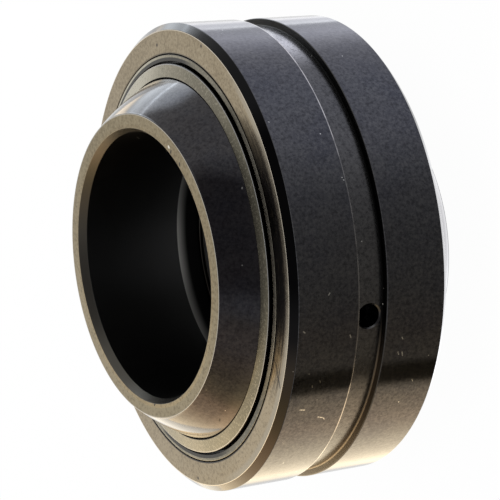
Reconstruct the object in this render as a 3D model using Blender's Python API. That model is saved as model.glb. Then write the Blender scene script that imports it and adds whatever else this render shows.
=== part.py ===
# A sealed spherical plain bearing, the ball-jointed bushing that sits in the eye of a cylinder or a linkage.
# It stands on the rear end face of its inner ring. +Z is the bore axis, towards the front end face.
# All sizes are in millimetres and are turned into metres by MM.
import math

import bpy
import bmesh
from mathutils import Matrix, Vector

MM = 0.001

# Inner ring: the ball's size follows from its width and from the flat land round the bore
BORE_D = 35.0
INNER_WIDTH = 35.0
END_LAND = 1.84
BORE_CHAMFER_RADIAL = 0.56
BORE_CHAMFER_AXIAL = 1.05
BORE_GROOVE_WIDTH = 4.2
BORE_GROOVE_DEPTH = 0.9
BORE_GROOVE_BEVEL = 0.15
END_EDGE_BREAK = 0.12

# Outer ring: its wall is measured at mid-width, from the race to the outside
OUTER_WIDTH = 22.0
RACE_GAP = 0.30
RACE_WALL = 4.2
OUTER_CHAMFER_RADIAL = 0.85
OUTER_CHAMFER_AXIAL = 0.85
OD_GROOVE_WIDTH = 4.0
OD_GROOVE_DEPTH = 1.0
OD_GROOVE_BEVEL = 0.15
RACE_GROOVE_WIDTH = 3.0
RACE_GROOVE_DEPTH = 0.5

# Grease holes: two in each ring, across from one another
OUTER_HOLE_D = 3.0
OUTER_HOLE_TURN = 177.8
INNER_HOLE_D = 3.2
INNER_HOLE_TURN = 90.0

# Seal seats, one recess in each face of the outer ring, with a ledge beside the race
SEAT_DEPTH = 2.6
SEAT_LEDGE = 1.6
SEAT_BREAK = 0.10

# Lip seals, one in each seat
SEAL_FIT_GAP = 0.30
RIM_WIDTH = 0.70
RELIEF_WIDTH = 0.30
RELIEF_DEPTH = 1.0
RING_RISE = 0.36
LIP_RISE = 0.62
LIP_GAP = 0.28
LIP_THICK = 0.9
LIP_HOLLOW = 0.45
INNER_LIP_THICK = 0.6

# How far the outer ring leans over on the ball as the bearing lies there
REST_TILT = 4.62

# How finely the round shapes are divided
TURN_STEPS = 96
BALL_STEPS = 14
RACE_STEPS = 4
HOLE_STEPS = 24

# Measures that follow from the ones above
HALF_INNER = INNER_WIDTH / 2
HALF_OUTER = OUTER_WIDTH / 2
BORE_R = BORE_D / 2
END_R = BORE_R + BORE_CHAMFER_RADIAL + END_LAND
BALL_R = math.hypot(END_R, HALF_INNER)
RACE_R = BALL_R + RACE_GAP
OUTER_R = RACE_R + RACE_WALL
SEAT_FLOOR = HALF_OUTER - SEAT_DEPTH
SEAT_R = math.sqrt(RACE_R * RACE_R - SEAT_FLOOR * SEAT_FLOOR) + SEAT_LEDGE
CENTRE = Vector((0.0, 0.0, HALF_INNER))
LEAN = Matrix.Rotation(math.radians(REST_TILT), 4, "Y")


# Shared helpers

def clear_scene():
    for item in list(bpy.data.objects):
        bpy.data.objects.remove(item, do_unlink=True)
    for mesh in list(bpy.data.meshes):
        bpy.data.meshes.remove(mesh)


def round_radius(sphere_r, height):
    return math.sqrt(sphere_r * sphere_r - height * height)


def sphere_arc(sphere_r, start, end, steps):
    # points (radius, height) on a sphere about the origin, evenly spaced by angle from start to end height
    first = math.asin(start / sphere_r)
    last = math.asin(end / sphere_r)
    points = []
    for i in range(steps + 1):
        angle = first + (last - first) * i / steps
        points.append((sphere_r * math.cos(angle), sphere_r * math.sin(angle)))
    return points


def groove(wall_r, width, depth, bevel, inward):
    # a square groove with broken edges in a wall of radius wall_r, listed from its lower to its upper edge
    floor_r = wall_r - depth if inward else wall_r + depth
    step_r = wall_r - bevel if inward else wall_r + bevel
    half = width / 2
    return [(wall_r, -half - bevel), (step_r, -half), (floor_r, -half),
            (floor_r, half), (step_r, half), (wall_r, half + bevel)]


def mirrored(points):
    # the same points on the other side of the middle plane, in the order that keeps the outline running on
    return [(r, -z) for r, z in reversed(points)]


def turned(name, outline, material, steps=TURN_STEPS):
    # a body of revolution about Z from a closed outline of (radius, height)
    bm = bmesh.new()
    rings = []
    for r, z in outline:
        ring = []
        for k in range(steps):
            a = 2 * math.pi * k / steps
            ring.append(bm.verts.new((r * math.cos(a) * MM, r * math.sin(a) * MM, z * MM)))
        rings.append(ring)
    for i, ring in enumerate(rings):
        after = rings[(i + 1) % len(rings)]
        for k in range(steps):
            n = (k + 1) % steps
            bm.faces.new((ring[k], ring[n], after[n], after[k]))
    bmesh.ops.recalc_face_normals(bm, faces=bm.faces)
    mesh = bpy.data.meshes.new(name)
    bm.to_mesh(mesh)
    bm.free()
    mesh.materials.append(material)
    piece = bpy.data.objects.new(name, mesh)
    bpy.context.scene.collection.objects.link(piece)
    return piece


def cross_drill(piece, diameter, turn, length):
    # a straight drill through both walls of a ring, across its axis, at the given turn about that axis
    bm = bmesh.new()
    along = Matrix.Rotation(math.radians(turn), 4, "Z") @ Matrix.Rotation(math.pi / 2, 4, "Y")
    bmesh.ops.create_cone(bm, cap_ends=True, segments=HOLE_STEPS, radius1=diameter / 2 * MM,
                          radius2=diameter / 2 * MM, depth=length * MM, matrix=along)
    mesh = bpy.data.meshes.new(piece.name + "_drill")
    bm.to_mesh(mesh)
    bm.free()
    drill = bpy.data.objects.new(piece.name + "_drill", mesh)
    bpy.context.scene.collection.objects.link(drill)
    drill.hide_render = True
    drill.display_type = "WIRE"
    drill.parent = piece
    cut = piece.modifiers.new("grease_holes", "BOOLEAN")
    cut.operation = "DIFFERENCE"
    cut.solver = "EXACT"
    cut.object = drill
    return drill


def smooth(piece, angle):
    mesh = piece.data
    mesh.shade_smooth()
    mesh.set_sharp_from_angle(angle=math.radians(angle))


def finish(name, colour, metallic, roughness):
    material = bpy.data.materials.new(name)
    material.use_nodes = True
    shader = material.node_tree.nodes["Principled BSDF"]
    shader.inputs["Base Color"].default_value = (*colour, 1.0)
    shader.inputs["Metallic"].default_value = metallic
    shader.inputs["Roughness"].default_value = roughness
    return material


def put_on_ball(piece):
    # a piece that turns about the ball's centre, leaning as the bearing lies there
    piece.matrix_world = Matrix.Translation(CENTRE * MM) @ LEAN


# Outlines of the pieces, as half sections

def inner_outline():
    # the ball with its two end faces, and the bore with its groove
    face_r = round_radius(BALL_R, HALF_INNER - END_EDGE_BREAK)
    outside = sphere_arc(BALL_R, -HALF_INNER + END_EDGE_BREAK, HALF_INNER - END_EDGE_BREAK, BALL_STEPS)
    top = [(face_r - END_EDGE_BREAK, HALF_INNER),
           (BORE_R + BORE_CHAMFER_RADIAL, HALF_INNER),
           (BORE_R, HALF_INNER - BORE_CHAMFER_AXIAL)]
    bore = groove(BORE_R, BORE_GROOVE_WIDTH, BORE_GROOVE_DEPTH, BORE_GROOVE_BEVEL, False)
    return outside + top + list(reversed(bore)) + mirrored(top)


def outer_outline():
    # the outside with its grease groove, the two seal seats and the hollow race
    side = [(OUTER_R, HALF_OUTER - OUTER_CHAMFER_AXIAL),
            (OUTER_R - OUTER_CHAMFER_RADIAL, HALF_OUTER),
            (SEAT_R + SEAT_BREAK, HALF_OUTER),
            (SEAT_R, HALF_OUTER - SEAT_BREAK),
            (SEAT_R, SEAT_FLOOR)]
    half = RACE_GROOVE_WIDTH / 2
    upper_race = sphere_arc(RACE_R, SEAT_FLOOR, half, RACE_STEPS)
    groove_r = RACE_R + RACE_GROOVE_DEPTH
    race = upper_race + [(groove_r, half), (groove_r, -half)] + mirrored(upper_race)
    outside = groove(OUTER_R, OD_GROOVE_WIDTH, OD_GROOVE_DEPTH, OD_GROOVE_BEVEL, True)
    return outside + side + race + mirrored(side)


def seal_outline():
    # a flat rim level with the ring's face, a narrow relief cut, and a raised ring with two lips on the ball
    rim_r = SEAT_R - SEAL_FIT_GAP
    foot = SEAT_FLOOR + SEAL_FIT_GAP
    relief_r = rim_r - RIM_WIDTH
    ring_r = relief_r - RELIEF_WIDTH
    touch = BALL_R + LIP_GAP
    lip_top = HALF_OUTER + LIP_RISE
    hollow_top = lip_top - LIP_THICK
    hollow_foot = foot + INNER_LIP_THICK
    outline = [(rim_r, foot),
               (rim_r, HALF_OUTER),
               (relief_r, HALF_OUTER),
               (relief_r, HALF_OUTER - RELIEF_DEPTH),
               (ring_r, HALF_OUTER - RELIEF_DEPTH),
               (ring_r, HALF_OUTER + RING_RISE)]
    outline += sphere_arc(touch, lip_top, hollow_top, 2)
    outline += sphere_arc(touch + LIP_HOLLOW, hollow_top, hollow_foot, 2)
    outline += sphere_arc(touch, hollow_foot, foot, 1)
    return outline


# Building the bearing

def build():
    clear_scene()
    ball_steel = finish("ball_steel", (0.16, 0.15, 0.14), 1.0, 0.22)
    ring_steel = finish("ring_steel", (0.13, 0.125, 0.12), 1.0, 0.25)
    front_rubber = finish("front_seal_polymer", (0.20, 0.18, 0.15), 0.0, 0.4)
    back_rubber = finish("back_seal_polymer", (0.20, 0.18, 0.15), 0.0, 0.4)

    inner = turned("inner_ring", inner_outline(), ball_steel)
    inner.matrix_world = Matrix.Translation(CENTRE * MM)
    cross_drill(inner, INNER_HOLE_D, INNER_HOLE_TURN, 2 * BALL_R + 2)
    smooth(inner, 25)

    outer = turned("outer_ring", outer_outline(), ring_steel)
    put_on_ball(outer)
    cross_drill(outer, OUTER_HOLE_D, OUTER_HOLE_TURN, 2 * OUTER_R + 2)
    smooth(outer, 25)

    front = turned("seal_front", seal_outline(), front_rubber)
    back = turned("seal_back", mirrored(seal_outline()), back_rubber)
    for seal in (front, back):
        put_on_ball(seal)
        smooth(seal, 25)


build()
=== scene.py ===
# %% [markdown]
# # A sealed ball-jointed bushing, built and lit for a photograph
#
# The object is a bushing whose inner ring is a ball. It lets a pin tilt and turn in the eye of a cylinder
# or a lever. It has four pieces: the inner ring with its bore, the outer ring with its grease groove, and
# a lip seal in each face of the outer ring.
#
# This lesson loads the plain solids of the part as a fixed frame, makes a finer piece for each of them,
# gives each piece its steel or polymer finish, and then sets up the floor, the lamps and the camera.

# %% Load the frame
import math

import bmesh
import bpy
from mathutils import Matrix, Vector


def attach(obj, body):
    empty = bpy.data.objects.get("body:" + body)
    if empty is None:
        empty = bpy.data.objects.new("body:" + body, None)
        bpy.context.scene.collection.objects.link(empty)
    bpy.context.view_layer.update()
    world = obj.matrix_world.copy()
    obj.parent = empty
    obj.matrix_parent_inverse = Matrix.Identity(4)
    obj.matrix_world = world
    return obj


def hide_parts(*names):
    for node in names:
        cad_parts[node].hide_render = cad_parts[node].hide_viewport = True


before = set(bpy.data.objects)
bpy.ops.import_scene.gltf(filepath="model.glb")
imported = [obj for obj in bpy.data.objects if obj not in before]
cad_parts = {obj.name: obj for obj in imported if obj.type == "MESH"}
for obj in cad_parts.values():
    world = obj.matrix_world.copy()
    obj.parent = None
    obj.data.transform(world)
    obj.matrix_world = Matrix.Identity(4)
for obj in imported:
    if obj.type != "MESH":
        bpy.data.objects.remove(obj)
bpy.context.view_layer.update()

# %% [markdown]
# ## Sizes
#
# Every size is written once, in millimetres, and the pieces share them. The inner ring's ball is found
# from its width and its end faces, and the race, the outside and the seal seats are found from the ball,
# so that the pieces always fit. The outer ring and its seals lean over by 4.62 degrees on the ball, as
# they do in the photograph.

# %% Named sizes
MM = 0.001
BORE_R = 17.5
HALF_INNER = 17.5
BORE_CHAMFER_RADIAL = 0.56
BORE_CHAMFER_AXIAL = 1.05
END_LAND = 1.84
END_R = BORE_R + BORE_CHAMFER_RADIAL + END_LAND
BALL_R = math.hypot(END_R, HALF_INNER)
RACE_R = BALL_R + 0.3
OUTER_R = RACE_R + 4.2
HALF_OUTER = 11.0
CHAMFER = 0.85
SEAT_FLOOR = HALF_OUTER - 2.6
SEAT_R = math.sqrt(RACE_R ** 2 - SEAT_FLOOR ** 2) + 1.6
GROOVE_FRONT = 1.8
GROOVE_BACK = 2.0
GROOVE_DEPTH = 1.0
LEAN_DEG = 4.62

CENTRE = Vector((0.0, 0.0, HALF_INNER * MM))
UPRIGHT = Matrix.Translation(CENTRE)
LEANING = UPRIGHT @ Matrix.Rotation(math.radians(LEAN_DEG), 4, "Y")
print(f"ball {2 * BALL_R:.2f} mm, outside {2 * OUTER_R:.2f} mm, seal seat {2 * SEAT_R:.2f} mm")

# %% [markdown]
# ## Outlines with softened corners
#
# A turned ring is its half section carried round an axis. No real corner is perfectly sharp, and a fine
# radius on each edge is what catches the light. Bevel modifiers would need edge weights after the fact,
# so the radius is put into the outline itself: each corner is a point with its own fillet, and the helper
# replaces it by a short arc. It also adds a point close to each end of a straight run, which keeps the
# smooth shading of the arc from spreading over the flat beside it.

# %% A helper for rounded outlines
def rounded(corners, arc_steps=4, guard=0.03):
    """Closed outline of (radius, height) from corners (radius, height, fillet)."""
    points = []
    count = len(corners)
    for i, (r, z, fillet) in enumerate(corners):
        here = Vector((r, z))
        before = Vector(corners[i - 1][:2])
        after = Vector(corners[(i + 1) % count][:2])
        to_before = (before - here).normalized()
        to_after = (after - here).normalized()
        if fillet <= 0:
            points.append(here)
            continue
        angle = to_before.angle(to_after)
        reach = fillet / math.tan(angle / 2)
        reach = min(reach, 0.45 * (before - here).length, 0.45 * (after - here).length)
        radius = reach * math.tan(angle / 2)
        middle = here + (to_before + to_after).normalized() * (radius / math.sin(angle / 2))
        start = here + to_before * reach
        end = here + to_after * reach
        if (before - here).length > 4 * guard:
            points.append(start + to_before * min(guard, 0.2 * (before - here).length))
        a0 = math.atan2(start.y - middle.y, start.x - middle.x)
        a1 = math.atan2(end.y - middle.y, end.x - middle.x)
        turn = (a1 - a0 + math.pi) % (2 * math.pi) - math.pi
        for k in range(arc_steps + 1):
            a = a0 + turn * k / arc_steps
            points.append(middle + Vector((math.cos(a), math.sin(a))) * radius)
        if (after - here).length > 4 * guard:
            points.append(end + to_after * min(guard, 0.2 * (after - here).length))
    return [(p.x, p.y) for p in points]


def ball_arc(sphere_r, start, end, steps):
    """Corners without fillets along a sphere, from one height to another."""
    first, last = math.asin(start / sphere_r), math.asin(end / sphere_r)
    angles = [first + (last - first) * i / steps for i in range(steps + 1)]
    return [(sphere_r * math.cos(a), sphere_r * math.sin(a), 0.0) for a in angles]


def other_side(corners):
    """The same corners below the middle plane, in running order."""
    return [(r, -z, fillet) for r, z, fillet in reversed(corners)]


square = [(1.0, 0.0, 0.1), (2.0, 0.0, 0.1), (2.0, 1.0, 0.1), (1.0, 1.0, 0.1)]
print("a square with rounded corners has", len(rounded(square)), "points")

# %% [markdown]
# ## A way to write nodes as sums
#
# Nodes turn the pieces and make their finishes. A sum is easier to read than a web of nodes, so `Value`
# wraps one socket, and adding or multiplying two of them adds a Math node. Colours go through Mix instead,
# because a Math node would turn a colour grey.

# %% The sums
class Value:
    """One socket of a recipe, with operators that add Math nodes."""

    def __init__(self, recipe, socket):
        self.recipe, self.socket = recipe, socket

    def op(self, operation, *others, clamp=False):
        settings = {"operation": operation, "use_clamp": clamp}
        return self.recipe.node("ShaderNodeMath", settings, slots=(self, *others))

    def after(self, operation, other):
        return self.recipe.node("ShaderNodeMath", {"operation": operation}, slots=(other, self))

    def __add__(self, other):
        return self.op("ADD", other)

    def __sub__(self, other):
        return self.op("SUBTRACT", other)

    def __mul__(self, other):
        return self.op("MULTIPLY", other)

    def __truediv__(self, other):
        return self.op("DIVIDE", other)

    def __mod__(self, other):
        return self.op("FLOORED_MODULO", other)

    def __radd__(self, other):
        return self.after("ADD", other)

    def __rsub__(self, other):
        return self.after("SUBTRACT", other)

    def __rmul__(self, other):
        return self.after("MULTIPLY", other)

    def abs(self):
        return self.op("ABSOLUTE")

    def ramp(self, low, high, bottom=0.0, top=1.0):
        """bottom below low, top above high, and a smooth climb between them."""
        return self.recipe.node("ShaderNodeMapRange", {"interpolation_type": "SMOOTHSTEP"}, Value=self,
                                From_Min=low, From_Max=high, To_Min=bottom, To_Max=top)

    def band(self, middle, half, soft=0.5):
        """1 where the value is within half of the middle, 0 outside, with soft sides."""
        return (self - middle).abs().ramp(half * (1 - soft), half * (1 + soft), 1.0, 0.0)


def own_names(kind):
    """The names of what a class adds, without the operators."""
    return ", ".join(name for name in vars(kind) if not name.startswith("__"))


print("a value knows", own_names(Value))

# %% [markdown]
# ### One way to add a node
#
# Every node comes from the one method `node`. It sets a node's settings first and fills its sockets after,
# because some settings change which sockets there are.

# %% The recipe
class Recipe:
    """A node tree that is being written."""

    def __init__(self, tree):
        self.tree = tree
        tree.nodes.clear()

    def put(self, slot, value):
        """Links or sets one slot; a list links several values to it."""
        for part in value if isinstance(value, list) else [value]:
            if isinstance(part, Value):
                self.tree.links.new(part.socket, slot)
            else:
                slot.default_value = part

    def node(self, kind, settings=None, out=0, slots=(), **values):
        """Any node: its settings, then its sockets by order or name. Gives one output, or the node."""
        node = self.tree.nodes.new(kind)
        for key, value in (settings or {}).items():
            setattr(node, key, value)
        for place, value in slots.items() if isinstance(slots, dict) else enumerate(slots):
            self.put(node.inputs[place], value)
        for key, value in values.items():
            label = key.replace("_", " ")
            self.put(next(slot for slot in node.inputs if slot.name == label and slot.enabled), value)
        return node if out is None else Value(self, node.outputs[out])

    def parts(self, vector):
        split = self.node("ShaderNodeSeparateXYZ", out=None, Vector=vector)
        return [Value(self, socket) for socket in split.outputs]

    def vector(self, x, y, z):
        return self.node("ShaderNodeCombineXYZ", slots=(x, y, z))

    def mix(self, share, low, high):
        """A colour between low and high."""
        low, high = ((*c, 1.0) if isinstance(c, tuple) else c for c in (low, high))
        return self.node("ShaderNodeMix", {"data_type": "RGBA"}, out=2, slots={0: share, 6: low, 7: high})

    def vector_math(self, operation, slots, out=0):
        return self.node("ShaderNodeVectorMath", {"operation": operation}, out=out, slots=slots)


def own_tree(owner):
    """The node tree of a material, a world or a lamp."""
    owner.use_nodes = True
    return owner.node_tree


print("a recipe knows", own_names(Recipe))

# %% [markdown]
# ## Geometry Nodes that turn an outline into a ring
#
# All four pieces follow one rule: a closed outline goes once round the axis. A Screw modifier could do
# it, but a node tree can also drill the grease holes that repeat round the ring, and it keeps its sizes
# as named inputs.

# %% The inputs of the tree
TURN_STEPS = 288
RING_INPUTS = [("Turn Steps", "NodeSocketInt", TURN_STEPS), ("Hole Count", "NodeSocketInt", 0),
               ("Hole Radius", "NodeSocketFloat", 0.0016), ("Hole Reach", "NodeSocketFloat", 0.028),
               ("Hole Turn", "NodeSocketFloat", 0.0), ("Hole Mouth", "NodeSocketFloat", 0.03),
               ("Hole Height", "NodeSocketFloat", 0.0), ("Finish", "NodeSocketMaterial", None)]
print("the tree has", len(RING_INPUTS), "named inputs")

# %% [markdown]
# ### The turned ring
#
# A grid has as many rows as the outline has points, and a column for each step of the turn. Each point of
# the grid takes its radius and height from its row's outline point and its angle from its column, which
# rolls the grid up round the axis. Welding the seams closes it. The steps are fine enough that the round
# side shows no facets.

# %% The ring that is turned
WELD = 0.0005 * MM


def rolled_ring(tree, given):
    outline, steps = given["Geometry"], given["Turn Steps"]
    count = tree.node("GeometryNodeAttributeDomainSize", out="Point Count", Geometry=outline)
    columns = steps + 1
    grid = tree.node("GeometryNodeMeshGrid", Size_X=1.0, Size_Y=1.0,
                     Vertices_X=count + 1, Vertices_Y=columns)
    index = tree.node("GeometryNodeInputIndex")
    row = (index / columns).op("FLOOR") % count
    angle = (index % columns) / steps * (2 * math.pi)
    corner = tree.node("GeometryNodeSampleIndex", {"data_type": "FLOAT_VECTOR"}, Geometry=outline,
                       Value=tree.node("GeometryNodeInputPosition"), Index=row)
    radius, _, height = tree.parts(corner)
    rolled = tree.vector(radius * angle.op("COSINE"), radius * angle.op("SINE"), height)
    ring = tree.node("GeometryNodeSetPosition", Geometry=grid, Position=rolled)
    return tree.node("GeometryNodeMergeByDistance", Geometry=ring, Distance=WELD)


print("each facet of the outside is", round(2 * math.pi * OUTER_R / TURN_STEPS, 2), "mm wide")

# %% [markdown]
# ### The grease holes
#
# Each hole is cut by a drill, which is a straight shank with a small cone that breaks the hole's mouth.
# The drills are placed round the ring as instances with their points outwards, and Realize Instances
# makes them real before the cut.

# %% The drills
DRILL_SIDES = 48
DRILL_START = 12 * MM
MOUTH_FLARE = 0.5 * MM
MOUTH_TIP = 0.3 * MM


def drills(tree, given):
    hole, reach, count = given["Hole Radius"], given["Hole Reach"], given["Hole Count"]
    shank = tree.node("GeometryNodeMeshCylinder", Vertices=DRILL_SIDES, Radius=hole, Depth=reach)
    cone = tree.node("GeometryNodeMeshCone", Vertices=DRILL_SIDES, Radius_Top=hole + MOUTH_FLARE,
                     Radius_Bottom=hole - MOUTH_TIP, Depth=MOUTH_FLARE + MOUTH_TIP)
    places = (reach * 0.5 + DRILL_START, given["Hole Mouth"] - MOUTH_FLARE)
    parts = [tree.node("GeometryNodeTransform", Geometry=shape, Translation=tree.vector(0.0, 0.0, out_by))
             for shape, out_by in zip((shank, cone), places)]
    drill = tree.node("GeometryNodeMeshBoolean", {"operation": "UNION", "solver": "EXACT"}, slots={1: parts})
    level = tree.vector(0.0, 0.0, given["Hole Height"])
    spots = tree.node("GeometryNodePoints", Count=count, Position=level)
    spin = tree.node("GeometryNodeInputIndex") / count * (2 * math.pi) + given["Hole Turn"]
    placed = tree.node("GeometryNodeInstanceOnPoints", Points=spots, Instance=drill,
                       Rotation=tree.vector(0.0, math.pi / 2, spin))
    return tree.node("GeometryNodeRealizeInstances", Geometry=placed)


print("each drill has", DRILL_SIDES, "sides and breaks the mouth by", MOUTH_FLARE / MM, "mm")

# %% [markdown]
# ### The whole tree
#
# The tree joins the two steps. The drilled ring is taken only where holes are asked for, so that the seals
# can be turned by the same tree. It ends with the piece made real and its material set.

# %% The turning tree
def turning_tree():
    group = bpy.data.node_groups.new("turned_ring", "GeometryNodeTree")
    group.interface.new_socket("Geometry", in_out="INPUT", socket_type="NodeSocketGeometry")
    for label, kind, value in RING_INPUTS:
        socket = group.interface.new_socket(label, in_out="INPUT", socket_type=kind)
        if value is not None:
            socket.default_value = value
    group.interface.new_socket("Geometry", in_out="OUTPUT", socket_type="NodeSocketGeometry")
    tree = Recipe(group)
    inputs = tree.node("NodeGroupInput", out=None).outputs
    given = {socket.name: Value(tree, socket) for socket in inputs}
    ring = rolled_ring(tree, given)
    drilled = tree.node("GeometryNodeMeshBoolean", {"operation": "DIFFERENCE", "solver": "EXACT"},
                        Mesh_1=ring, Mesh_2=drills(tree, given))
    wanted = given["Hole Count"].op("GREATER_THAN", 0.5)
    pick = tree.node("GeometryNodeSwitch", {"input_type": "GEOMETRY"}, Switch=wanted,
                     **{"False": ring, "True": drilled})
    whole = tree.node("GeometryNodeRealizeInstances", Geometry=pick)
    dressed = tree.node("GeometryNodeSetMaterial", Geometry=whole, Material=given["Finish"])
    tree.node("NodeGroupOutput", out=None, Geometry=dressed)
    return group


TURNING = turning_tree()
print("turning tree has", len(TURNING.nodes), "nodes")

# %% [markdown]
# The tree is put on a loose outline, its inputs are set by their identifiers, and the result is read back
# as a plain mesh. The mesh is then placed in the frame, so that the object itself stays at the origin
# like the solids. Each face also keeps how squarely it looks along the axis, so that a finish can tell a
# flat face from a round one.

# %% A helper that turns a piece
SHARP_DEG = 40.0


def add_object(name, data):
    """A new object in the scene, at the origin."""
    piece = bpy.data.objects.new(name, data)
    bpy.context.scene.collection.objects.link(piece)
    return piece


def turned(name, outline, place, finish, **inputs):
    mesh = bpy.data.meshes.new(name + "_outline")
    rim = [(i, (i + 1) % len(outline)) for i in range(len(outline))]
    mesh.from_pydata([(r * MM, 0.0, z * MM) for r, z in outline], rim, [])
    mesh.materials.append(finish)
    holder = add_object(name + "_outline", mesh)
    modifier = holder.modifiers.new("turning", "NODES")
    modifier.node_group = TURNING
    wanted = dict(inputs, Finish=finish)
    for item in TURNING.interface.items_tree:
        key = item.name.replace(" ", "_")
        if item.item_type == "SOCKET" and item.in_out == "INPUT" and key in wanted:
            modifier[item.identifier] = wanted[key]
    seen = holder.evaluated_get(bpy.context.evaluated_depsgraph_get())
    made = bpy.data.meshes.new_from_object(seen)
    bpy.data.objects.remove(holder)
    bpy.data.meshes.remove(mesh)
    made.name = name
    made.materials.clear()
    made.materials.append(finish)
    made.polygons.foreach_set("material_index", [0] * len(made.polygons))
    bm = bmesh.new()
    bm.from_mesh(made)
    bmesh.ops.recalc_face_normals(bm, faces=bm.faces)
    bm.to_mesh(made)
    bm.free()
    made.transform(place)
    axis = place.to_3x3() @ Vector((0, 0, 1))
    flat = made.attributes.new("flat", "FLOAT", "FACE")
    flat.data.foreach_set("value", [abs(face.normal.dot(axis)) for face in made.polygons])
    made.shade_smooth()
    made.set_sharp_from_angle(angle=math.radians(SHARP_DEG))
    triangles = sum(len(p.vertices) - 2 for p in made.polygons)
    print(f"{name}: {triangles} triangles, finish {made.materials[0].name}")
    return add_object(name, made)


print("edges sharper than", SHARP_DEG, "degrees stay crisp in the shading")

# %% [markdown]
# ### What the metal finishes share
#
# All finishes here need the same things: the place on the piece in millimetres from the ball's centre,
# the distance from the axis, and noise for clouds, grain and grinding lines. Noise reads Object
# coordinates, so the grain sits in the metal and doesn't stretch over it.

# %% Places and noise
class Surface(Recipe):
    """The steel of a piece, which knows where it is in the piece's own millimetres."""

    def __init__(self, name, place):
        self.material = bpy.data.materials.new(name)
        super().__init__(own_tree(self.material))
        # the axis is Z and the ball's centre is nought
        back = place.inverted()
        self.here = self.node("ShaderNodeMapping", Vector=self.node("ShaderNodeTexCoord", out="Object"),
                              Location=back.translation / MM, Rotation=back.to_euler(), Scale=(1 / MM,) * 3)
        self.x, self.y, self.z = self.parts(self.here)
        self.r = (self.x * self.x + self.y * self.y).op("SQRT")
        # 1 on the flat faces, 0 on the round ones
        self.facing = self.node("ShaderNodeAttribute", {"attribute_name": "flat"}, out="Fac")

    def noise(self, where, scale, detail=2.0, rough=0.5):
        return self.node("ShaderNodeTexNoise", Vector=where, Scale=scale, Detail=detail, Roughness=rough)

    def lines(self, across, fineness):
        """Fine grinding lines that run round the ring: they change quickly across and hardly along."""
        stretched = self.vector(self.x * 0.04, self.y * 0.04, across * fineness)
        return self.noise(stretched, 1.0, detail=3.0, rough=0.6)

    def ground_lines(self, face, fineness):
        """Grinding lines across the round sides and, on the flat faces, outwards from the axis."""
        round_side = self.lines(self.z, fineness)
        return round_side + (self.lines(self.r, 5.0) - round_side) * face

    def flat_face(self, half_width, low=0.9, high=0.985):
        """1 on the two flat faces of a piece of the given half width."""
        return self.facing.ramp(low, high) * self.z.abs().ramp(half_width - 0.5, half_width - 0.3)

    def grainy(self, colour, grain, light, light_share, dark, dark_share):
        """The colour, made lighter and darker by the grain."""
        colour = self.mix(grain.ramp(0.5, 0.64) * light_share, colour, light)
        return self.mix(grain.ramp(0.5, 0.36) * dark_share, colour, dark)

    def clouds_to_grain(self, clouds, blotches, mottle):
        """Four noises from coarse to fine, the first three of the given scales."""
        return (self.noise(self.here, clouds, detail=4.0),
                self.noise(self.here, blotches, detail=6.0, rough=0.65),
                self.noise(self.here, mottle, detail=5.0, rough=0.7),
                self.noise(self.here, 2.3, detail=3.0, rough=0.75))


print("a surface also knows", own_names(Surface))

# %% [markdown]
# ### Marks and relief
#
# Use leaves scratches and specks in the steel. A scratch is a thin stroke between two points, and specks
# lie at chance places. A very fine relief ruffles the mirror images. The last step closes a finish.

# %% Marks and relief
class Finish(Surface):
    """A surface with strokes, specks and a relief, which ends as a metal finish."""

    def stroke(self, start, end, width, soft=0.6):
        """1 on a thin line between two points of the ring, 0 away from it."""
        run = Vector(end) - Vector(start)
        offset = self.vector_math("SUBTRACT", (self.here, Vector(start)))
        share = self.vector_math("DOT_PRODUCT", (offset, run / max(run.length_squared, 1e-9)), "Value")
        nearest = self.vector_math("SCALE", {0: run, 3: share.op("ADD", 0.0, clamp=True)})
        gap = self.vector_math("DISTANCE", (offset, nearest), "Value")
        return gap.ramp(width * (1 - soft) * 0.5, width * (1 + soft) * 0.5, 1.0, 0.0)

    def strokes(self, marks, width):
        """All the given (start, end) lines in one mask."""
        first, *others = [self.stroke(start, end, width) for start, end in marks]
        for line in others:
            first = first.op("MAXIMUM", line)
        return first

    def specks(self, fineness, share, size):
        """Small round specks: the share of cells that hold one, and its size as a part of a cell."""
        cells = self.node("ShaderNodeTexVoronoi", out=None, Vector=self.here, Scale=fineness)
        chance = self.node("ShaderNodeSeparateColor", Color=Value(self, cells.outputs["Color"]))
        spot = Value(self, cells.outputs["Distance"]).ramp(size * 0.5, size, 1.0, 0.0)
        return spot * chance.ramp(0.99 - share, 1.01 - share)

    def relief(self, *layers):
        """Bumps one upon another, from pairs of a height and the metres that it stands for."""
        under = {}
        for height, distance in layers:
            under = {"Normal": self.node("ShaderNodeBump", Height=height, Distance=distance, **under)}
        return under["Normal"]

    def done(self, colour, roughness, normal):
        """Closes the finish with a metal shader."""
        metal = self.node("ShaderNodeBsdfPrincipled", Base_Color=colour, Metallic=1.0,
                          Roughness=roughness, Normal=normal)
        self.node("ShaderNodeOutputMaterial", out=None, slots=(metal,))
        print(f"{self.material.name}: {len(self.tree.nodes)} nodes")
        return self.material


print("a finish also knows", own_names(Finish))

# %% [markdown]
# ## The outer ring's steel
#
# The outer ring is hardened, ground steel with a thin dark oil-blackened skin. Its outside is nearly
# black where it is seen face on and brightens towards its edges, as any smooth dark skin does. Its two
# flat faces are ground last, so the bright steel shows there with a warm cast. The two looks could be two
# materials, but one finish that reads the ring's own height keeps the border exactly on the edge of the
# turned face.

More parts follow.
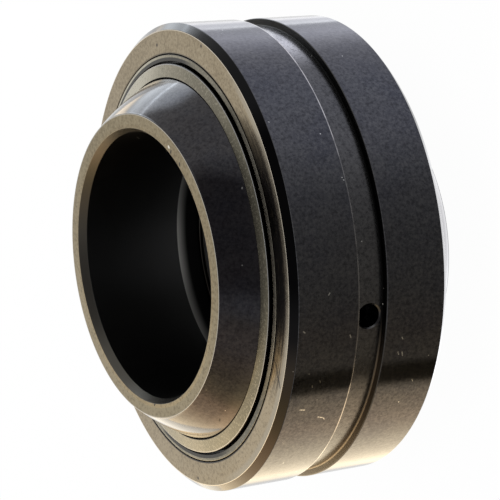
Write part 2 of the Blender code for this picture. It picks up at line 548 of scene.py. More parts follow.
# %% Where the outer ring's surfaces lie
def ring_surfaces(f):
    """Gives the finish a mask for each kind of surface: flat, slanting, chamfer, groove, groove corner."""
    f.face = f.flat_face(HALF_OUTER)
    f.slope = f.facing.ramp(0.25, 0.6) * (1 - f.face)
    outside = f.r.ramp(OUTER_R - CHAMFER - 0.3, OUTER_R - CHAMFER - 0.1)
    f.chamfer = f.slope * outside * f.z.abs().ramp(5.0, 6.0)
    near_outside = f.r.ramp(OUTER_R - 2.0, OUTER_R - 1.8)
    f.trench = f.r.ramp(OUTER_R - 0.25, OUTER_R - 0.1, 1.0, 0.0) * near_outside
    f.trench = f.trench * f.z.abs().ramp(2.2, 2.4, 1.0, 0.0)
    f.corner = f.z.ramp(-GROOVE_BACK + 0.3, -GROOVE_BACK + 0.2)
    f.corner = f.corner * f.z.ramp(-GROOVE_BACK - 0.15, -GROOVE_BACK - 0.05)
    f.corner = f.corner * f.r.ramp(OUTER_R - 0.15, OUTER_R - 0.06, 1.0, 0.0) * near_outside


print(f"the groove's floor lies at radius {OUTER_R - GROOVE_DEPTH:.2f} mm")

# %% [markdown]
# ### Marks of handling
#
# Light ticks show where something hard has touched the blacking. A fine crack-like line runs across the
# front face, and the face has a few small dark pits. Each mark is a thin line between two points of the
# steel, placed near its place in the photograph, and a pit is a line without length.

# %% Marks on the outer ring
def polar(r, turn_deg, z):
    """The point at a radius, a turn round the axis and a height."""
    return (r * math.cos(math.radians(turn_deg)), r * math.sin(math.radians(turn_deg)), z)


# turn and height of both ends
TICKS = [(176.69, 9.24, 177.04, 9.45), (174.69, 3.0, 174.08, 2.85), (172.32, -4.45, 171.84, -4.6),
         (168.61, -4.16, 167.99, -4.3), (168.47, -4.75, 167.52, -4.9), (164.07, 0.25, 163.37, 0.1),
         (165.31, -1.05, 164.56, -1.05), (164.03, 6.39, 163.61, 6.3), (162.99, 7.39, 162.63, 7.3),
         (156.44, 8.29, 156.18, 7.6), (153.2, 5.34, 152.7, 4.6), (152.51, 4.45, 152.11, 4.3),
         (225.26, 9.67, 225.33, 9.75), (209.59, 2.12, 209.63, 2.2), (184.63, 6.1, 185.03, 5.95),
         (160.38, -7.1, 159.83, -7.25)]
# radius and turn of each bend
CRACK = [(26.3, 168.1), (27.0, 167.6), (27.6, 166.7), (28.2, 165.6), (28.6, 163.8), (29.2, 163.1),
         (29.7, 161.9)]
# radius and turn
PITS = [(28.4, -74.3), (29.6, -101.2), (29.5, 101.0)]
print(len(TICKS), "ticks,", len(PITS), "pits and a crack with", len(CRACK) - 2, "bends")

# %% [markdown]
# ### The blacked outside
#
# The blacking is not even: clouds, blotches and a fine grain lie in it. The groove is duller, with a painted
# glint on its floor at the top, and painted shade fills its back corner, near black at the top and lighter
# lower down. The chamfers are darker, most of all towards the top. A painted highlight runs along the
# groove's front edge as a broken bright line.

# %% The blacked outside
def blacked(f):
    dark = f.mix(f.clouds.ramp(0.3, 0.7), (0.052, 0.053, 0.061), (0.064, 0.064, 0.068))
    dark = f.mix(f.blotches.ramp(0.52, 0.75) * 0.5, dark, (0.036, 0.035, 0.042))
    dark = f.mix(f.mottle.ramp(0.5, 0.8) * 0.4, dark, (0.09, 0.088, 0.092))
    dark = f.mix(f.trench, dark, (0.07, 0.069, 0.07))
    # painted highlight: a pale glint on the groove's floor at the top of the ring
    dark = f.mix(f.trench * f.y.ramp(-26.5, -29.8), dark, (0.4, 0.4, 0.41))
    dark = f.grainy(dark, f.grain, (0.105, 0.104, 0.104), 0.45, (0.026, 0.026, 0.028), 0.6)
    # painted shade in the groove's back corner: near black at the top, lighter and browner lower down
    painted_shade = f.mix(f.y.ramp(1.0, 9.0), (0.005, 0.005, 0.005), (0.095, 0.082, 0.066))
    painted_shade = f.mix(f.y.ramp(10.0, 26.0), painted_shade, (0.2, 0.175, 0.135))
    dark = f.mix(f.slope, dark, (0.045, 0.044, 0.044))
    dark = f.mix(f.corner, dark, painted_shade)
    # the chamfers are darker, darkest towards the top
    chamfer_tone = f.mix(f.y.ramp(2.0, 8.0), (0.008, 0.008, 0.0085), (0.032, 0.029, 0.026))
    dark = f.mix(f.chamfer, dark, chamfer_tone)
    # painted highlight along the groove's front edge, a broken bright line, strongest at the top and
    # faintest in the middle
    glinting = f.z.band(GROOVE_FRONT + 0.1, 0.1) * f.r.ramp(OUTER_R - 0.12, OUTER_R - 0.06)
    glinting = glinting * f.noise(f.here, 0.5, detail=4.0).ramp(0.3, 0.62, 0.25, 1.0)
    glinting = glinting * (f.y.ramp(-24.0, -14.0, 1.0, 0.35) + f.y.ramp(4.0, 9.0) * 0.45)
    dark = f.mix(glinting, dark, (0.46, 0.44, 0.42))
    ends = [(polar(OUTER_R, a, low), polar(OUTER_R, b, high)) for a, low, b, high in TICKS]
    ticks = f.strokes(ends, 0.13) * f.noise(f.here, 4.0).ramp(0.35, 0.5, 0.35, 1.0)
    return f.mix(f.specks(0.9, 0.12, 0.1).op("MAXIMUM", ticks), dark, (0.42, 0.42, 0.4))


print("the blacking is worn through at height", round(GROOVE_FRONT + 0.1, 2), "mm")

# %% [markdown]
# ### The ground faces
#
# The two flat faces are warm bright steel with grinding grain. They carry painted light on the lower side
# and a painted dark reflection in long streaks on the near side, and a dark smear runs along it. The margin
# outside the smear is bare, painted shade lies at the inner edge by the seal, and the corner towards the
# chamfer carries a painted highlight as a fine bright line.

# %% The ground faces
def ground(f):
    warm = f.mix(f.clouds.ramp(0.3, 0.7), (0.235, 0.183, 0.106), (0.275, 0.218, 0.134))
    # painted light: the faces are lighter towards the lower side, most of all on the near side
    painted_light_below = f.y.ramp(-5.0, 15.0) * (0.2 + f.x.ramp(-12.0, -24.0) * 0.2)
    warm = f.mix(painted_light_below, warm, (0.5, 0.4, 0.26))
    warm = f.grainy(warm, f.grain, (0.36, 0.3, 0.2), 0.5, (0.12, 0.09, 0.05), 0.5)
    # painted dark reflection in long streaks on the near side
    streaks = f.noise(f.vector(f.x * 0.1, f.y * 0.1, f.r * 3.4), 1.0, detail=5.0, rough=0.7)
    painted_dark_reflection = f.x.ramp(-14.0, -24.0) * f.y.ramp(13.0, 7.0)
    painted_dark_reflection = painted_dark_reflection * f.noise(f.here, 0.22).ramp(0.35, 0.6, 0.35, 1.0)
    warm = f.mix(streaks.ramp(0.44, 0.58) * painted_dark_reflection, warm, (0.03, 0.02, 0.012))
    smear = f.x.ramp(-8.0, -14.0) * f.y.ramp(-21.0, -15.0) * f.y.ramp(5.0, -1.0)
    drag = f.noise(f.vector(f.x * 0.5, f.y * 0.5, f.r * 2.4), 1.0, detail=6.0, rough=0.75)
    smear = smear * f.r.band(28.15, 1.15, 0.3) * drag.ramp(0.3, 0.46)
    warm = f.mix(smear, warm, (0.02, 0.014, 0.01))
    bare = f.r.ramp(29.0, 29.6) * f.x.ramp(-12.0, -18.0)
    warm = f.mix(bare * 0.8, warm, (0.34, 0.295, 0.22))
    # painted shade at the face's inner edge by the seal, stronger towards the lower side
    seam = f.r.ramp(SEAT_R + 0.12, SEAT_R + 0.22, 1.0, 0.0)
    warm = f.mix(seam * (0.5 + f.y.ramp(-4.0, 8.0) * 0.45), warm, (0.02, 0.015, 0.01))
    # painted highlight: a fine bright line on the corner towards the chamfer
    warm = f.mix(f.r.band(OUTER_R - CHAMFER, 0.09), warm, (0.62, 0.56, 0.46))
    bends = [polar(r, turn, HALF_OUTER) for r, turn in CRACK]
    pits = [(polar(r, turn, HALF_OUTER),) * 2 for r, turn in PITS]
    marks = f.strokes(list(zip(bends, bends[1:])), 0.18).op("MAXIMUM", f.strokes(pits, 0.42))
    return f.mix(marks, warm, (0.02, 0.014, 0.01))


print(f"each ground face is {OUTER_R - CHAMFER - SEAT_R:.2f} mm wide")

# %% [markdown]
# ### Both looks together
#
# The finish shows the ground look on the flat faces and the blacked one elsewhere. Its relief is only a
# few thousandths of a millimetre deep, which is enough to ruffle the mirror images in the steel.

# %% Outer ring finish
def ring_steel():
    f = Finish("ground_ring_steel", LEANING)
    ring_surfaces(f)
    f.clouds, f.blotches, f.mottle, f.grain = f.clouds_to_grain(0.16, 0.75, 2.4)
    lines = f.ground_lines(f.face, 5.0)
    colour = f.mix(f.face, blacked(f), ground(f))
    rough = 0.11 + lines.ramp(0.3, 0.7) * 0.02 + f.blotches.ramp(0.4, 0.8) * 0.05
    rough = rough + f.trench * 0.12 + f.corner * 0.2
    return f.done(colour, rough, f.relief((lines, 0.6e-6), (f.blotches, 6e-6), (f.grain, 0.7e-6)))


RING_STEEL = ring_steel()

# %% [markdown]
# ## The inner ring's steel
#
# The inner ring is the same steel. Its ball is polished finer than the outside of the outer ring, because
# the race slides on it. The end faces and the chamfers of the bore are bright and warm, and the bore
# itself is as dark as the ball.

# %% Marks on the inner ring
# dark chips and a bright nick on the end face
CHIPS = [((-8.0, -16.8, 17.5), (-7.9, -16.5, 17.5)), ((-3.9, 17.6, 17.5), (-3.7, 17.9, 17.5)),
         ((-10.1, -15.6, 17.5), (-10.2, -15.3, 17.5))]
NICKS = [((-7.5, -17.1, 17.5), (-7.35, -17.2, 17.5))]
# a light spot on the ball and a scratch in the bore
SPOTS = [((-18.3, -13.7, 13.4), (-18.35, -13.6, 13.45)), ((8.5, -15.3, 13.4), (9.2, -14.9, 12.7))]
# a short dark dent low on the ball
DENTS = [((-14.3, 17.4, 13.9), (-14.7, 17.0, 14.1))]
print("marks on the inner ring:", len(CHIPS + NICKS + SPOTS + DENTS))

# %% [markdown]
# The bore's grease groove is painted black with shade at its back side and painted pale on its front side,
# where light from the end would reach it. The warm end face is edged with a painted highlight, a thin bright
# line, and the ball and the end face are painted lighter towards the lower side.

# %% Inner ring finish
def ball_steel():
    f = Finish("polished_ball_steel", UPRIGHT)
    end = f.flat_face(HALF_INNER)
    inside = f.r.ramp(BORE_R + 1.2, BORE_R + 1.0, 0.0, 1.0)
    mouth = f.facing.ramp(0.2, 0.4) * inside * (1 - end)
    trench = inside * f.r.ramp(BORE_R + 0.4, BORE_R + 0.6)
    clouds, blotches, mottle, grain = f.clouds_to_grain(0.2, 0.55, 2.2)
    lines = f.ground_lines(end, 6.0)
    dark = f.mix(clouds.ramp(0.3, 0.7), (0.031, 0.031, 0.036), (0.04, 0.038, 0.04))
    dark = f.mix(blotches.ramp(0.5, 0.72) * 0.6, dark, (0.02, 0.018, 0.021))
    dark = f.mix(mottle.ramp(0.5, 0.8) * 0.4, dark, (0.06, 0.056, 0.056))
    dark = f.grainy(dark, grain, (0.062, 0.06, 0.06), 0.4, (0.014, 0.013, 0.014), 0.5)
    # painted light: the ball is a little lighter on its lower side
    dark = f.mix(f.y.ramp(4.0, 14.0) * f.z.ramp(15.0, 13.0) * 0.06, dark, (0.5, 0.48, 0.42))
    dark = f.mix(inside, dark, (0.04, 0.04, 0.04))
    # painted shade and light in the bore's grease groove: black at its back side, pale on its front side
    dark = f.mix(trench, dark, f.mix(f.z.ramp(0.0, 2.7), (0.004, 0.004, 0.004), (0.48, 0.47, 0.44)))
    dark = f.mix(mouth, dark, (0.068, 0.064, 0.055))
    specks = (f.specks(0.8, 0.07, 0.09) * (1 - inside)).op("MAXIMUM", f.strokes(SPOTS, 0.16))
    dark = f.mix(specks, dark, (0.38, 0.38, 0.36))
    dark = f.mix(f.strokes(DENTS, 0.2), dark, (0.006, 0.006, 0.006))
    warm = f.mix(clouds.ramp(0.3, 0.7), (0.19, 0.15, 0.084), (0.225, 0.18, 0.106))
    # painted light: the end face is lighter towards the lower side
    warm = f.mix(0.06 + f.y.ramp(-4.0, 10.0) * 0.18, warm, (0.5, 0.42, 0.27))
    warm = f.grainy(warm, grain, (0.3, 0.25, 0.16), 0.5, (0.1, 0.075, 0.04), 0.5)
    # painted highlight: a thin bright line on the end face's outer edge
    warm = f.mix(f.r.ramp(END_R - 0.14, END_R - 0.04) * 0.7, warm, (0.5, 0.48, 0.44))
    warm = f.mix(f.strokes(CHIPS, 0.25), warm, (0.03, 0.025, 0.02))
    warm = f.mix(f.strokes(NICKS, 0.3), warm, (0.75, 0.72, 0.62))
    colour = f.mix(end, dark, warm)
    rough = 0.08 + lines.ramp(0.3, 0.7) * 0.02 + blotches.ramp(0.4, 0.8) * 0.04 + inside * 0.25
    return f.done(colour, rough, f.relief((lines, 0.5e-6), (blotches, 4e-6), (grain, 0.5e-6)))


BALL_STEEL = ball_steel()

# %% [markdown]
# ## The seals' finish
#
# Each seal is one moulding of grey-brown polymer. Its face came out of a polished mould, and in the
# photograph it has the sheen of metal and takes on light and dark as the steel does, so its finish is a
# metal one too. It is duller than the steel beside it and shows no sharp mirror image of the ball.

# %% Seal finish
SPOT = polar(24.3, 166.9, 11.4)


def seal_skin(name):
    f = Finish(name, LEANING)
    top = f.flat_face(HALF_OUTER, 0.85, 0.98)
    clouds = f.noise(f.here, 0.3, detail=4.0)
    grain = f.noise(f.here, 2.6, detail=4.0, rough=0.75)
    lines = f.lines(f.r, 4.0)
    colour = f.mix(clouds.ramp(0.3, 0.7), (0.225, 0.205, 0.146), (0.265, 0.236, 0.172))
    # painted light on the upper far side, and painted shade on the near side
    colour = f.mix(f.x.ramp(2.0, 14.0) * f.y.ramp(6.0, -8.0), colour, (0.46, 0.43, 0.34))
    colour = f.mix(f.x.ramp(-12.0, -23.0) * 0.75, colour, (0.1, 0.094, 0.072))
    painted_near_shade = f.y.ramp(-6.0, -13.0) * f.x.ramp(8.0, -8.0) * 0.5
    painted_near_shade = painted_near_shade + f.y.ramp(6.0, 14.0) * f.x.ramp(-2.0, -12.0) * 0.33
    colour = f.mix(painted_near_shade, colour, (0.03, 0.027, 0.02))
    # painted light on the flat rim's near side, and painted shade along its inner edge behind the raised
    # ring and under the lip
    flat_rim = f.r.ramp(SEAT_R - 1.05, SEAT_R - 0.95)
    colour = f.mix(flat_rim * f.x.ramp(-14.0, -21.0) * f.y.ramp(12.0, 4.0) * 0.8, colour, (0.48, 0.45, 0.37))
    low_side = f.y.ramp(-5.0, 5.0)
    along = (f.x + low_side * 12.0).ramp(-5.0, 0.0) * (1 - low_side * f.x.ramp(4.0, 7.0))
    painted_shade = f.r.band(SEAT_R - 0.78, 0.28, 0.2) * along * 0.95
    painted_shade = painted_shade + f.r.ramp(23.97, 24.07, 0.9, 0.0) * f.y.ramp(-4.0, -12.0) * f.x.ramp(-12.0, -16.0)
    colour = f.grainy(colour, grain, (0.36, 0.33, 0.25), 0.45, (0.13, 0.12, 0.08), 0.5)
    # painted highlight: a thin bright line on the raised ring's outer edge
    rim = f.r.ramp(SEAT_R - 1.5, SEAT_R - 1.38) * f.r.ramp(SEAT_R - 1.2, SEAT_R - 1.1, 1.0, 0.0)
    colour = f.mix(rim * f.z.abs().ramp(HALF_OUTER + 0.15, HALF_OUTER + 0.25), colour, (0.34, 0.34, 0.34))
    colour = f.mix(painted_shade, colour, (0.012, 0.011, 0.009))
    # painted shade at the rim's outer edge by the seat, stronger towards the top
    seam = f.r.ramp(SEAT_R - 0.26, SEAT_R - 0.16)
    colour = f.mix(seam * f.y.ramp(6.0, -4.0) * 0.8, colour, (0.03, 0.025, 0.02))
    # painted shade: everything but the flat tops is near black, in the relief cut, on the walls and on the
    # lips
    colour = f.mix(top, (0.006, 0.0055, 0.005), colour)
    colour = f.mix(f.strokes([(SPOT, SPOT)], 0.35), colour, (0.01, 0.01, 0.01))
    rough = 0.2 + grain.ramp(0.3, 0.8) * 0.08
    return f.done(colour, rough, f.relief((lines * 0.7 + grain * 0.3, 1.5e-6)))


SEAL_SKIN = seal_skin("seal_skin")

# %% [markdown]
# ## The inner ring
#
# The inner ring is one piece of steel: a ball cut off flat at both ends, with a plain bore for the pin.
# Its outline is drawn as a chain of points that runs up the ball, over the narrow end face, down the
# chamfer and along the bore, where a shallow grease groove lies at mid-length. Turning that chain round
# the axis gives the whole ring, and two cross holes carry grease from the groove to the ball. A chain is
# better here than a ball cut by cylinders, because each edge keeps its own small rounding.

# %% The inner ring
BORE_GROOVE_HALF = 2.1
BORE_GROOVE_R = BORE_R + 0.9
CROSS_HOLE_R = 1.6


def inner_corners():
    edge = 0.12
    end_r = math.sqrt(BALL_R ** 2 - (HALF_INNER - edge) ** 2)
    ball = ball_arc(BALL_R, -HALF_INNER + 2 * edge, HALF_INNER - 2 * edge, 72)
    top = [(end_r, HALF_INNER - edge, 0.0),
           (end_r - 0.5 * edge, HALF_INNER, 0.1),
           (BORE_R + BORE_CHAMFER_RADIAL, HALF_INNER, 0.08),
           (BORE_R, HALF_INNER - BORE_CHAMFER_AXIAL, 0.25)]
    groove = [(BORE_R, BORE_GROOVE_HALF, 0.12), (BORE_GROOVE_R, BORE_GROOVE_HALF, 0.2)]
    return ball + top + groove + other_side(groove) + other_side(top)


inner = turned("inner_ring_turned", rounded(inner_corners()), UPRIGHT, BALL_STEEL,
               Hole_Count=2, Hole_Radius=CROSS_HOLE_R * MM, Hole_Reach=20 * MM,
               Hole_Turn=math.pi / 2, Hole_Mouth=BALL_R * MM)
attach(inner, "inner")
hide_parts("inner_ring")

# %% [markdown]
# ## The outer ring
#
# The outer ring is also one piece. Its hollow race holds the ball, its outside has a square grease groove
# with a grease hole in its floor, and each face has a stepped seat for a seal. The race is an arc of a
# slightly larger ball, so the two rings touch nowhere and can swivel. The hole is set 0.12 mm off the
# middle of the ring, as the photograph shows it, and its mouth is broken by a small cone.

# %% The outer ring
GREASE_HOLE_R = 1.5
GREASE_HOLE_DEG = 177.8
GREASE_HOLE_HEIGHT = -0.12
RACE_RELIEF_R = RACE_R + 0.5
RACE_RELIEF_HALF = 1.5


def outer_corners():
    outside = [(OUTER_R, -GROOVE_BACK, 0.12), (OUTER_R - GROOVE_DEPTH, -GROOVE_BACK, 0.2),
               (OUTER_R - GROOVE_DEPTH, GROOVE_FRONT, 0.2), (OUTER_R, GROOVE_FRONT, 0.12)]
    side = [(OUTER_R, HALF_OUTER - CHAMFER, 0.15),
            (OUTER_R - CHAMFER, HALF_OUTER, 0.1),
            (SEAT_R, HALF_OUTER, 0.08),
            (SEAT_R, SEAT_FLOOR, 0.1)]
    race = ball_arc(RACE_R, SEAT_FLOOR, RACE_RELIEF_HALF, 12)
    floor = [(RACE_RELIEF_R, RACE_RELIEF_HALF, 0.0), (RACE_RELIEF_R, -RACE_RELIEF_HALF, 0.0)]
    return outside + side + race + floor + other_side(race) + other_side(side)


outer = turned("outer_ring_turned", rounded(outer_corners()), LEANING, RING_STEEL,
               Hole_Count=2, Hole_Radius=GREASE_HOLE_R * MM, Hole_Reach=22 * MM,
               Hole_Turn=math.radians(GREASE_HOLE_DEG), Hole_Height=GREASE_HOLE_HEIGHT * MM,
               Hole_Mouth=(OUTER_R - GROOVE_DEPTH) * MM)
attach(outer, "outer")
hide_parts("outer_ring")

# %% [markdown]
# ## The seals
#
# Each seal is one moulding with a flat rim, a narrow relief cut beside it, and a raised ring whose two
# lips run on the ball. It is turned like the rings, because it is round too, and the back seal is the
# mirror image of the front one. The rim stops 0.13 mm short of its seat, which draws the fine dark line
# between seal and ring.

# %% The seals
RIM_GAP = 0.13
RELIEF_R = SEAT_R - 1.0
RELIEF_WIDTH = 0.3
RELIEF_FLOOR = HALF_OUTER - 1.3
RING_TOP = HALF_OUTER + 0.36
LIP_TOP = HALF_OUTER + 0.62
TOUCH_R = BALL_R + 0.05


def seal_corners():
    foot = SEAT_FLOOR + 0.1
    shape = [(SEAT_R - RIM_GAP, foot, 0.1), (SEAT_R - RIM_GAP, HALF_OUTER, 0.08),
             (RELIEF_R, HALF_OUTER, 0.08), (RELIEF_R, RELIEF_FLOOR, 0.0),
             (RELIEF_R - RELIEF_WIDTH, RELIEF_FLOOR, 0.0), (RELIEF_R - RELIEF_WIDTH, RING_TOP, 0.12),
             (math.sqrt(TOUCH_R ** 2 - LIP_TOP ** 2) + 0.12, LIP_TOP, 0.08)]
    shape += ball_arc(TOUCH_R, LIP_TOP - 0.12, LIP_TOP - 0.9, 4)
    shape += ball_arc(TOUCH_R + 0.45, LIP_TOP - 0.95, foot + 0.6, 4)
    return shape + ball_arc(TOUCH_R, foot + 0.55, foot, 2)


front_outline = rounded(seal_corners())
back_outline = rounded(other_side(seal_corners()))
front_seal = turned("seal_front_moulded", front_outline, LEANING, SEAL_SKIN)
back_seal = turned("seal_back_moulded", back_outline, LEANING, SEAL_SKIN)
for seal, node, slot_name in ((front_seal, "seal_front", "front_seal_polymer"),
                              (back_seal, "seal_back", "back_seal_polymer")):
    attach(seal, "seals")
    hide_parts(node)

# %% [markdown]
# ## The camera
#
# The camera's place was worked out from the round edges in the photograph, which show as ellipses. It
# looks down at the front end from 31 degrees above the table, and it is rolled on its own axis until the
# bearing lies on its side in the picture, as it does in the photograph. Nothing is shifted, so the view
# can be turned freely.

# %% Camera
CAMERA_AT = Vector((-202.12, -62.16, 144.17)) * MM
LOOK = Vector((0.82138, 0.25213, -0.51163)).normalized()
ROLL_DEG = 98.18
LENS = 131.53


def put_camera():
    data = bpy.data.cameras.new("camera")
    data.sensor_width = 36.0
    data.lens = LENS
    data.clip_start = 0.01
    data.clip_end = 20.0
    cam = add_object("camera", data)
    level = LOOK.to_track_quat("-Z", "Y").to_matrix().to_4x4()
    roll = Matrix.Rotation(math.radians(-ROLL_DEG), 4, "Z")
    cam.matrix_world = Matrix.Translation(CAMERA_AT) @ level @ roll
    bpy.context.scene.camera = cam
    return cam


camera = put_camera()
print("camera looks from", [round(c * 1000, 1) for c in camera.matrix_world.translation])

# %% [markdown]
# ## World and floor
#
# The photograph has a pure white ground. Light Path gives a white of strength 1 to the rays that show the
# ground, which go straight to the camera or come by way of gloss. All other rays meet an ordinary pale
# world and a plain pale floor, so the floor keeps a faint shadow. Under the bore the floor stays dark in
# the gloss, because hardly any light reaches it through the ring.

# %% World and floor
scene = bpy.context.scene
scene.view_settings.view_transform = "Standard"


def ground_seen(recipe):
    """1 for rays that show the ground: straight to the camera, or by way of gloss or glass."""
    path = recipe.node("ShaderNodeLightPath", out=None)
    camera_ray, glossy, glass = (Value(recipe, path.outputs[f"Is {kind} Ray"])
                                 for kind in ("Camera", "Glossy", "Transmission"))
    return camera_ray.op("MAXIMUM", glossy).op("MAXIMUM", glass)


def pale_world():
    world = bpy.data.worlds.new("studio")
    recipe = Recipe(own_tree(world))
    fill = recipe.node("ShaderNodeBackground", Color=(0.95, 0.97, 1.0, 1.0), Strength=1.0)
    white = recipe.node("ShaderNodeBackground", Color=(1.0, 1.0, 1.0, 1.0), Strength=1.0)
    both = recipe.node("ShaderNodeMixShader", slots=(ground_seen(recipe), fill, white))
    recipe.node("ShaderNodeOutputWorld", out=None, slots=(both,))
    return world


def pale_floor():
    material = bpy.data.materials.new("pale_floor")
    recipe = Recipe(own_tree(material))
    board = recipe.node("ShaderNodeBsdfDiffuse", Color=(0.97, 0.97, 0.97, 1.0))
    white = recipe.node("ShaderNodeEmission", Color=(1.0, 1.0, 1.0, 1.0), Strength=1.0)
    place = recipe.node("ShaderNodeTexCoord", out="Object")
    away = recipe.vector_math("LENGTH", (place,), "Value")
    share = ground_seen(recipe) * away.ramp(0.016, 0.018, 0.03, 0.97)
    both = recipe.node("ShaderNodeMixShader", slots=(share, board, white))
    recipe.node("ShaderNodeOutputMaterial", out=None, slots=(both,))
    mesh = bpy.data.meshes.new("floor")
    mesh.from_pydata([(-2, -2, 0), (2, -2, 0), (2, 2, 0), (-2, 2, 0)], [], [(0, 1, 2, 3)])
    mesh.materials.append(material)
    board_piece = add_object("floor", mesh)
    return board_piece


scene.world = pale_world()
floor = pale_floor()
print("floor", [round(side, 2) for side in floor.dimensions], "m")

# %% [markdown]
# ## Lamps
#
# Dark polished steel shows little but its surroundings, so the lamps are placed where the ball mirrors
# them. A lamp with hard sides would show its outline in the steel. These lamps dim towards their sides
# instead, as a soft box does, and each one is described by how bright its face looks.

# %% Lamps
def fade_sides(data, fade):
    """The lamp's face dims smoothly to nothing over the given share of its width and height."""
    recipe = Recipe(own_tree(data))
    places = recipe.parts(recipe.node("ShaderNodeNewGeometry", out="Parametric"))
    across, up = ((place - 0.5).abs().ramp(0.5 - share * 0.5, 0.5, 1.0, 0.0)
                  for place, share in zip(places, fade))
    glow = recipe.node("ShaderNodeEmission", Strength=across * up)
    recipe.node("ShaderNodeOutputLight", out=None, slots=(glow,))


def soft_lamp(name, at, aim, width, height, radiance, colour, fade=(0.5, 0.5)):
    """A flat lamp whose face shows the given radiance, wherever it is seen in the gloss."""
    data = bpy.data.lights.new(name, "AREA")
    data.shape = "RECTANGLE"
    data.size, data.size_y = width, height
    data.energy = radiance * math.pi * width * height
    data.color = colour
    fade_sides(data, fade)
    lamp = add_object(name, data)
    at, aim = Vector(at), Vector(aim)
    turn = (aim - at).to_track_quat("-Z", "Y").to_matrix().to_4x4()
    lamp.matrix_world = Matrix.Translation(at) @ turn
    lamp.visible_camera = False
    return lamp


TAN = (1.0, 0.8, 0.54)
COOL = (0.84, 0.92, 1.0)
soft_lamp("cool_side", (0.126, -0.098, 0.022), (0, 0, 0.02), 0.115, 0.08, 2.2, COOL)
soft_lamp("cool_strip", (0.12, -0.088, 0.03), (0, 0, 0.02), 0.008, 0.1, 3.0, COOL, (0.9, 0.5))
soft_lamp("warm_end", (0.155, -0.038, 0.018), (0, 0, 0.02), 0.05, 0.06, 1.7, TAN)

# %% [markdown]
# ## Cards round the bearing
#
# The long light and dark bands on the outside are mirror images of cards on the table, which stand out of
# view in the photograph. They are seen only in the gloss and throw no light or shadow. Each corner of a
# card keeps its own glow and its own cover, so one finish serves them all and the sides of a card can
# melt away. For the cards on the table the corners are laid along the lines in which the round side
# mirrors the table to the camera, so that a band keeps its width from the front of the ring to the back.

# %% Cards round the bearing
def card_finish():
    """Reads each card's own glow and cover, which are kept on its corners."""
    material = bpy.data.materials.new("studio_card")
    recipe = Recipe(own_tree(material))
    own = recipe.node("ShaderNodeVertexColor", {"layer_name": "glow"}, out=None)
    glow = recipe.node("ShaderNodeEmission", Color=Value(recipe, own.outputs["Color"]), Strength=1.0)
    clear = recipe.node("ShaderNodeBsdfTransparent")
    both = recipe.node("ShaderNodeMixShader", slots=(Value(recipe, own.outputs["Alpha"]), clear, glow))
    recipe.node("ShaderNodeOutputMaterial", out=None, slots=(both,))
    return material


STUDIO_CARD = card_finish()
print("the cards' finish is", STUDIO_CARD.name)


def card(name, firsts, seconds, corner):
    """A card with a corner for each pair of steps.

    A corner is a point and its glow, and the glow is red, green, blue and how much the card covers.
    """
    points, glows = zip(*[corner(first, second) for first in firsts for second in seconds])
    wide = len(seconds)
    faces = [(i * wide + j, i * wide + j + 1, (i + 1) * wide + j + 1, (i + 1) * wide + j)
             for i in range(len(firsts) - 1) for j in range(wide - 1)]
    mesh = bpy.data.meshes.new(name)
    mesh.from_pydata(points, [], faces)
    layer = mesh.color_attributes.new("glow", "FLOAT_COLOR", "POINT")
    for spot, glow in zip(layer.data, glows):
        spot.color = glow
    mesh.materials.append(STUDIO_CARD)
    piece = add_object(name, mesh)
    piece.visible_camera = piece.visible_diffuse = piece.visible_shadow = False
    print(name, "has", len(points), "corners")


def between(stops, at):
    """The values at a place, read off (place, value, ...) stops by straight lines."""
    for (low, *before), (high, *after) in zip(stops, stops[1:]):
        if low <= at <= high:
            share = (at - low) / (high - low)
            return [x + (y - x) * share for x, y in zip(before, after)]


# %% [markdown]
# ### Cards on the table
#
# The glow is given for each heading on the table, in degrees from the X axis. A step in it is a card's
# side, and it shows as a crisp line along the ring. The slow changes are cards that stand further off.
# Cards at the same angle from the ring's own normal as the camera are the ones that it mirrors.

# %% Table cards
TABLE_GLOW = [(40, 3.4, 2.9, 2.1), (52, 3.4, 2.9, 2.1), (81, 3.2, 2.65, 1.85), (99, 2.75, 2.1, 1.4),
              (113, 2.0, 1.57, 1.05), (119, 1.6, 1.3, 0.9), (123, 0.1, 0.08, 0.05), (132, 0.1, 0.08, 0.05),
              (135, 0.42, 0.36, 0.27), (150, 0.33, 0.28, 0.22), (170, 0.3, 0.28, 0.25),
              (195, 0.33, 0.32, 0.31), (216, 0.43, 0.43, 0.45), (232, 0.7, 0.71, 0.76),
              (245, 0.92, 0.94, 1.05), (268, 1.02, 1.06, 1.22), (300, 1.13, 1.15, 1.3),
              (312, 1.55, 1.57, 1.76), (320, 1.66, 1.69, 1.9), (324, 1.42, 1.44, 1.62),
              (329, 1.13, 1.15, 1.28), (334, 0.95, 0.97, 1.08), (336, 2.4, 2.45, 2.6),
              (340, 1.6, 1.62, 1.75), (345, 1.3, 1.32, 1.42), (350, 1.8, 1.8, 1.85),
              (356, 2.1, 2.1, 2.15)]
TABLE_COVER = [(40, 0.0), (52, 1.0), (350, 1.0), (356, 0.0)]
CAMERA_HEADING = 197


def table_corner(heading, far):
    """A corner on the line in which the round side mirrors the table to the camera."""
    side = Vector(polar(OUTER_R, (heading + CAMERA_HEADING) / 2, 0.5))
    glow = between(TABLE_GLOW, heading) + between(TABLE_COVER, heading)
    return (side + Vector(polar(far, heading, 0.0))) * MM, glow


def low_board(name, near, far, low, high, glow, height):
    """A pale board on the table, between two distances and two headings, with soft sides."""
    def corner(i, j):
        away = near + (far - near) * j / 8
        cover = min(i, 12 - i, 2) / 2 * min(j, 8 - j, 1)
        return Vector(polar(away, low + (high - low) * i / 12, height)) * MM, (*glow, cover)

    card(name, range(13), range(9), corner)


card("table_cards", range(40, 357), (6, 90), table_corner)
low_board("far_board", 100, 315, 20, 74, (2.35, 2.15, 1.8), 0.5)
low_board("board_under_the_edge", 14, 28, 130, 232, (2.5, 2.5, 2.55), 0.08)

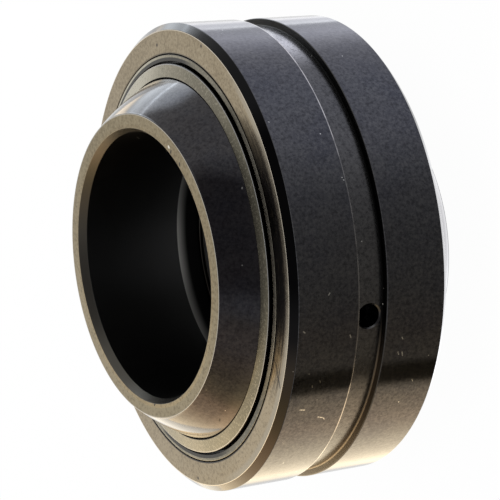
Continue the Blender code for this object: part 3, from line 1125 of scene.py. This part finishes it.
# %% [markdown]
# ### A dark cloth and a warm wall
#
# The near side of the ring and its front chamfer mirror the space round the camera, which is dark in the
# photograph, so a dark cloth hangs there. The flat faces and the ball mirror the space at the bottom side
# of the picture, which is bright and warm at its far end.

# %% Cloth and wall
CLOTH_FAR = 0.3
CLOTH_GLOW = (0.24, 0.23, 0.24)
WALL_FAR = 0.32
WALL_GLOW = [(28, 2.6, 2.2, 1.5), (42, 3.3, 2.7, 1.85), (60, 3.5, 2.8, 1.85), (76, 3.4, 2.4, 1.45),
             (87, 2.9, 2.0, 1.2), (94, 1.9, 1.4, 0.8), (102, 1.4, 1.1, 0.66), (112, 0.95, 0.75, 0.5),
             (131, 0.85, 0.72, 0.6), (150, 0.6, 0.55, 0.5), (160, 0.4, 0.4, 0.4)]
WALL_COVER = [(28, 0.0), (42, 1.0), (150, 1.0), (160, 0.0)]


def dome(radius, heading, rise):
    """A point of a dome over the bearing, in metres, from a heading and a rise in degrees."""
    up = math.radians(rise)
    return polar(radius * math.cos(up), heading, 0.02 + radius * math.sin(up))


def cloth_corner(j, rise):
    """The cloth hangs round the camera; it is wider at the top and melts away at its sides."""
    low = 148 - max(0, rise - 40) * 0.3
    high = 262 + max(0, rise - 25) * 1.3
    heading = low + (high - low) * j / 36
    cover = min(heading - low, high - heading, 26) / 26 * min(rise - 12, 14) / 14
    return dome(CLOTH_FAR, heading, rise), (*CLOTH_GLOW, max(cover, 0.0))


def wall_corner(heading, rise):
    """The wall is bright at its far end, dull near the camera, and melts away at the top."""
    cover = between(WALL_COVER, heading)[0] * min(1.0, max(0.0, (62 - rise) / 20))
    return dome(WALL_FAR, heading, rise), (*between(WALL_GLOW, heading), cover)


card("dark_cloth", range(37), range(12, 85, 4), cloth_corner)
card("warm_wall", range(28, 161, 2), range(-8, 65, 6), wall_corner)

# %% [markdown]
